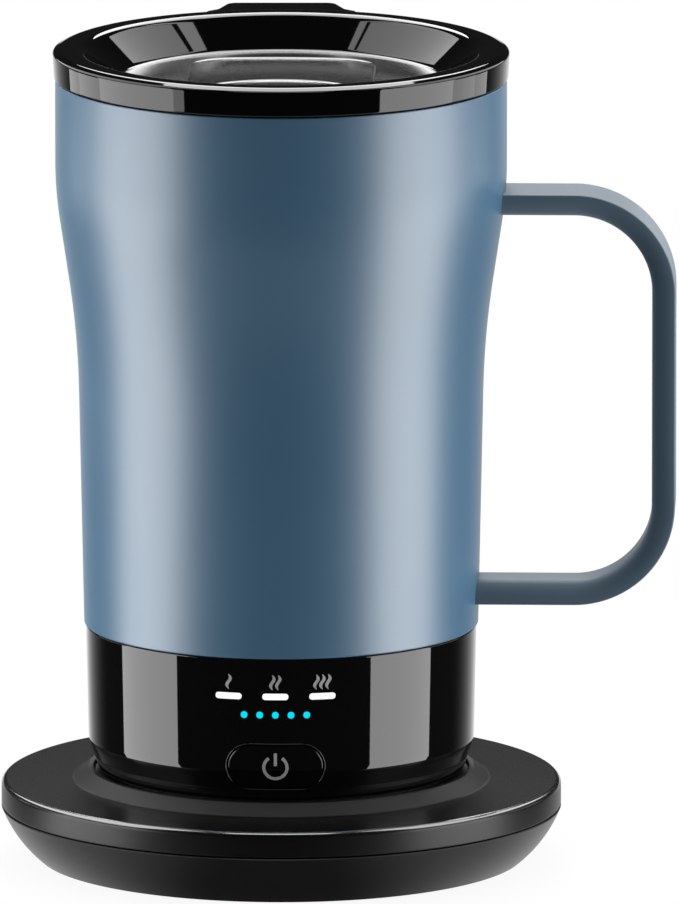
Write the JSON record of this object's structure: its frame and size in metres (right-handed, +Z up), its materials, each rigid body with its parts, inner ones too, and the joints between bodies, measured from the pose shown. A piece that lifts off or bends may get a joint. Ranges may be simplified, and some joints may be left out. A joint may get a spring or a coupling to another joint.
{
  "type": "self-heating mug",
  "caption": "Waisted insulated mug with a heated base, push button and level display, push-in lid with a sip slider and a flat band handle, standing on a round charging coaster.",
  "frame": {"origin": "on the mug's axis, at the table under the coaster's foot pad", "axes": "+Z up along the mug's axis, -Y towards the display and button, +X towards the handle"},
  "size_m": [0.1336, 0.111, 0.1624],
  "materials": {
    "blue_paint": "satin blue paint over steel",
    "liner_steel": "fine brushed stainless steel",
    "spreader_aluminium": "plain sheet",
    "heater_film": "amber polyimide film",
    "bead_black": "epoxy bead",
    "insulation_felt": "pressed felt",
    "gloss_black": "high gloss",
    "satin_black": "fine satin texture",
    "dark_plastic": "plain moulding",
    "cell_wrap": "shrink wrap",
    "nickel": "plain strip",
    "board_green": "solder mask",
    "chip_black": "moulded packages",
    "screw_steel": "plated",
    "lead_cover": "insulated wire",
    "led_white": "clear resin",
    "level_light": "lit diffuser, white",
    "charge_light": "lit diffuser, cyan",
    "white_plastic": "plain moulding",
    "silicone": "soft matt",
    "gold_contact": "gold plated",
    "socket_steel": "plated shell"
  },
  "bodies": {
    "coaster": {"coaster_top": "satin_black", "coaster_base": "satin_black", "coaster_board": "board_green", "coaster_components": "chip_black", "usb_socket": "socket_steel", "pin_holder": "white_plastic", "inner_pin_spring": "screw_steel", "outer_pin_spring": "screw_steel", "coaster_screws": "screw_steel", "foot_pad": "silicone"},
    "mug": {"outer_shell": "blue_paint", "inner_liner": "liner_steel", "handle": "blue_paint", "heat_spreader": "spreader_aluminium", "heating_film": "heater_film", "thermistor": "bead_black", "insulation_disc": "insulation_felt", "base_housing": "gloss_black", "base_chassis": "dark_plastic", "battery_cells": "cell_wrap", "battery_tabs": "nickel", "control_board": "board_green", "board_components": "chip_black", "board_screws": "screw_steel", "heater_leads": "lead_cover", "contact_leads": "lead_cover", "display_board": "board_green", "display_leds": "led_white", "light_shroud": "dark_plastic", "level_lenses": "level_light", "charge_lenses": "charge_light", "tact_switch": "chip_black", "button_seal": "silicone", "base_cover": "satin_black", "base_seal": "silicone", "base_cover_screws": "screw_steel", "contact_rings": "gold_contact", "foot_ring": "silicone"},
    "lid": {"lid_body": "gloss_black", "lid_gasket": "silicone"},
    "slider": {"slider": "gloss_black", "slider_retainer": "dark_plastic", "slider_seal": "silicone"},
    "button": {"button_cap": "gloss_black", "switch_plunger": "white_plastic"},
    "inner_pin": {"inner_pin": "gold_contact"},
    "outer_pin": {"outer_pin": "gold_contact"}
  },
  "joints": [
    {"name": "mug_lift", "type": "slide", "parent": "coaster", "child": "mug", "axis": [0, 0, 1], "range_m": [0, 0.06]},
    {"name": "lid_lift", "type": "slide", "parent": "mug", "child": "lid", "axis": [0, 0, 1], "range_m": [0, 0.04]},
    {"name": "slider_slide", "type": "slide", "parent": "lid", "child": "slider", "axis": [0, 1, 0], "range_m": [0, 0.0085]},
    {"name": "button_press", "type": "slide", "parent": "mug", "child": "button", "axis": [0, 1, 0], "range_m": [0, 0.0005], "stiffness_N_per_m": 2000, "springref_m": -0.0003},
    {"name": "inner_pin_press", "type": "slide", "parent": "coaster", "child": "inner_pin", "axis": [0, 0, 1], "range_m": [-0.0008, 0], "stiffness_N_per_m": 500, "springref_m": 0.0005, "deforming": ["inner_pin_spring"]},
    {"name": "outer_pin_press", "type": "slide", "parent": "coaster", "child": "outer_pin", "axis": [0, 0, 1], "range_m": [-0.0008, 0], "stiffness_N_per_m": 500, "springref_m": 0.0005, "deforming": ["outer_pin_spring"]}
  ]
}
